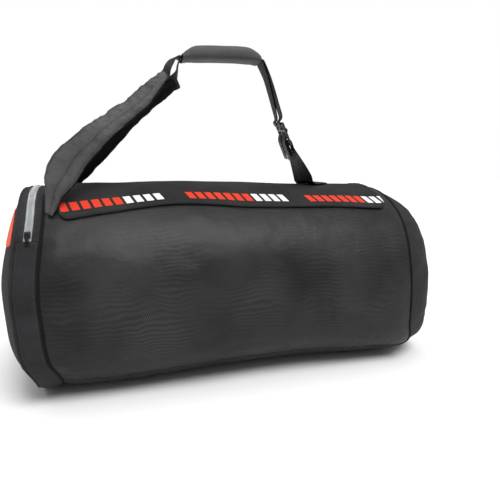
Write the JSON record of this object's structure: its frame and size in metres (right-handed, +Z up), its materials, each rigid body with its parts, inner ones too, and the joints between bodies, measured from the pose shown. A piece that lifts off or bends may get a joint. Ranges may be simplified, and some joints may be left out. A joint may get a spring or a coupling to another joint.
{
  "type": "mesh duffel bag",
  "caption": "Barrel-shaped mesh dive gear bag with a zipped end pocket and padded shoulder straps that meet in a wrapped carry handle.",
  "frame": {"origin": "centre of the flat base between the end pocket's seam and the far seam", "axes": "+X along the bag away from the end pocket, +Y to the back, +Z up"},
  "size_m": [0.7958, 0.38, 0.6027],
  "materials": {
    "mesh": "fine open weave",
    "cloth": "tight woven cloth",
    "padding": "padded woven cloth",
    "wrap": "padded woven cloth",
    "webbing": "ribbed webbing",
    "piping": "bound edge",
    "tape": "woven zip tape",
    "teeth": "satin",
    "slider": "semi-gloss",
    "buckle": "matte",
    "stripe": "smooth printed cloth"
  },
  "bodies": {
    "bag": {"mesh_wall_front": "mesh", "mesh_wall_back": "mesh", "base_panel": "cloth", "mouth_flap": "cloth", "pocket_seam_piping": "piping", "pocket_end_piping": "piping", "far_seam_piping": "piping", "pocket_strip_inner": "cloth", "pocket_strip_outer": "cloth", "pocket_gusset": "cloth", "zip_tape": "tape", "zip_teeth": "teeth", "pocket_end_panel": "cloth", "far_end_panel": "cloth", "pocket_end_stripe": "stripe", "zip_slider": "slider", "front_shoulder_strap": "padding", "back_shoulder_strap": "padding", "handle_wrap": "wrap", "front_webbing": "webbing", "back_webbing": "webbing", "front_adjuster": "buckle", "back_adjuster": "buckle", "front_anchor_strap": "webbing", "back_anchor_strap": "webbing"},
    "puller": {"zip_puller": "slider"}
  },
  "joints": [
    {"name": "puller_flip", "type": "hinge", "parent": "bag", "child": "puller", "pos_m": [-0.33246, -0.15179, 0.27892], "axis": [-1, 0, 0], "range_deg": [0, 180]}
  ]
}
